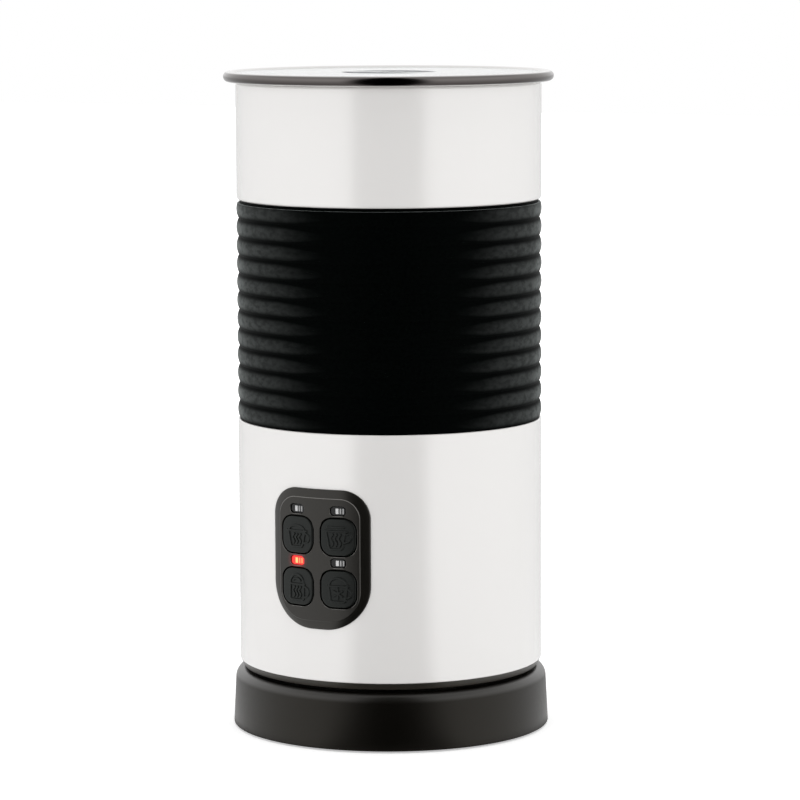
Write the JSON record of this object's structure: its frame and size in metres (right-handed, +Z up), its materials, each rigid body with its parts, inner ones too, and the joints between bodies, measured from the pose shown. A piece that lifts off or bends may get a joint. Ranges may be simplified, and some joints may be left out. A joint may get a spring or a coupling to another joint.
{
  "type": "milk frother",
  "caption": "Jug-type electric milk frother that turns on and lifts off a round base, with a heated steel cup, magnetic whisk drive, clear lid, ribbed grip and push-button panel.",
  "frame": {"origin": "centre of the base's footprint, on the surface that it stands on", "axes": "+Z up along the turning axis; the control panel faces -Y and the cord inlet is at +Y"},
  "size_m": [0.1058, 0.1058, 0.2116],
  "materials": {
    "white_paint": "gloss white paint on steel",
    "grip_rubber": "black silicone rubber, satin",
    "seal_rubber": "translucent white silicone",
    "foot_rubber": "black rubber",
    "base_plastic": "dark warm grey plastic, satin",
    "cover_plastic": "dark grey plastic, satin",
    "panel_plastic": "charcoal plastic, satin",
    "button_rubber": "charcoal, soft satin",
    "connector_plastic": "black heat-resistant plastic",
    "inner_plastic": "grey moulded plastic",
    "cup_steel": "polished rim, coated inside",
    "bright_steel": "bright steel",
    "screw_steel": "zinc-plated steel",
    "contact_brass": "plated brass",
    "bush_bronze": "sintered bronze",
    "plate_aluminium": "cast",
    "element_steel": "heat-tinted steel tube",
    "clear_plastic": "clear, polished",
    "pale_plastic": "natural nylon",
    "whisk_plastic": "black nylon",
    "light_clear": "clear light pipe, unlit",
    "light_red": "light pipe, lit red",
    "board_green": "green solder mask",
    "relay_blue": "blue plastic case",
    "coil_yellow": "yellow tape",
    "part_black": "black plastic",
    "copper_winding": "enamelled copper",
    "wire_red": "silicone-covered lead",
    "ribbon_grey": "flat cable",
    "ceramic_white": "ceramic",
    "magnet_nickel": "nickel-plated magnet",
    "magnet_ferrite": "ferrite"
  },
  "bodies": {
    "base": {"base_housing": "base_plastic", "base_floor": "base_plastic", "base_feet": "foot_rubber", "base_screws": "screw_steel", "base_socket": "connector_plastic", "base_contacts": "contact_brass", "cord_gland": "foot_rubber", "cord_clamp": "inner_plastic", "clamp_screws": "screw_steel"},
    "turning_collar": {"locating_collar": "inner_plastic"},
    "frother": {"bottom_cover": "cover_plastic", "cover_screws": "screw_steel", "body_plug": "connector_plastic", "plug_contacts": "contact_brass", "lower_shell": "white_paint", "grip_sleeve": "grip_rubber", "upper_shell": "white_paint", "inner_housing": "inner_plastic", "cup": "cup_steel", "cup_gasket": "seal_rubber", "cup_pin": "bright_steel", "heater_plate": "plate_aluminium", "heater_element": "element_steel", "thermostat": "ceramic_white", "temperature_sensor": "part_black", "motor_mount": "bright_steel", "mount_nuts": "screw_steel", "motor_can": "bright_steel", "motor_magnets": "magnet_ferrite", "motor_end_cap": "pale_plastic", "motor_bushes": "bush_bronze", "motor_screws": "screw_steel", "power_board": "board_green", "relay": "relay_blue", "capacitor": "part_black", "transformer": "coil_yellow", "terminal_block": "board_green", "board_screws": "screw_steel", "internal_wiring": "wire_red", "control_panel": "panel_plastic", "control_board": "board_green", "tact_switches": "part_black", "leds": "ceramic_white", "led_windows": "light_clear", "lit_led_window": "light_red", "ribbon_cable": "ribbon_grey"},
    "drive_rotor": {"motor_shaft": "bright_steel", "motor_armature": "copper_winding", "magnet_carrier": "pale_plastic", "drive_magnets": "magnet_nickel"},
    "whisk": {"whisk_hub": "whisk_plastic", "whisk_magnets": "magnet_nickel", "whisk_coil": "bright_steel"},
    "lid": {"lid": "clear_plastic", "lid_seal": "seal_rubber"},
    "hot_froth_press": {"hot_froth_button": "button_rubber"},
    "hot_milk_press": {"hot_milk_button": "button_rubber"},
    "dense_froth_press": {"dense_froth_button": "button_rubber"},
    "cold_froth_press": {"cold_froth_button": "button_rubber"}
  },
  "joints": [
    {"name": "base_turn", "type": "hinge", "parent": "base", "child": "turning_collar", "pos_m": [0, 0, 0.0174], "axis": [0, 0, 1], "continuous": true},
    {"name": "lift_off", "type": "slide", "parent": "turning_collar", "child": "frother", "axis": [0, 0, 1], "range_m": [0, 0.06]},
    {"name": "lid_lift", "type": "slide", "parent": "frother", "child": "lid", "axis": [0, 0, 1], "range_m": [0, 0.05]},
    {"name": "drive_spin", "type": "hinge", "parent": "frother", "child": "drive_rotor", "pos_m": [0, 0, 0.08], "axis": [0, 0, 1], "continuous": true},
    {"name": "whisk_lift", "type": "slide", "parent": "drive_rotor", "child": "whisk", "axis": [0, 0, 1], "range_m": [0, 0.05]},
    {"name": "hot_froth_push", "type": "slide", "parent": "frother", "child": "hot_froth_press", "axis": [0.1444, 0.9895, 0], "range_m": [0, 0.0005], "stiffness_N_per_m": 2000},
    {"name": "hot_milk_push", "type": "slide", "parent": "frother", "child": "hot_milk_press", "axis": [-0.1444, 0.9895, 0], "range_m": [0, 0.0005], "stiffness_N_per_m": 2000},
    {"name": "dense_froth_push", "type": "slide", "parent": "frother", "child": "dense_froth_press", "axis": [0.1444, 0.9895, 0], "range_m": [0, 0.0005], "stiffness_N_per_m": 2000},
    {"name": "cold_froth_push", "type": "slide", "parent": "frother", "child": "cold_froth_press", "axis": [-0.1444, 0.9895, 0], "range_m": [0, 0.0005], "stiffness_N_per_m": 2000}
  ]
}
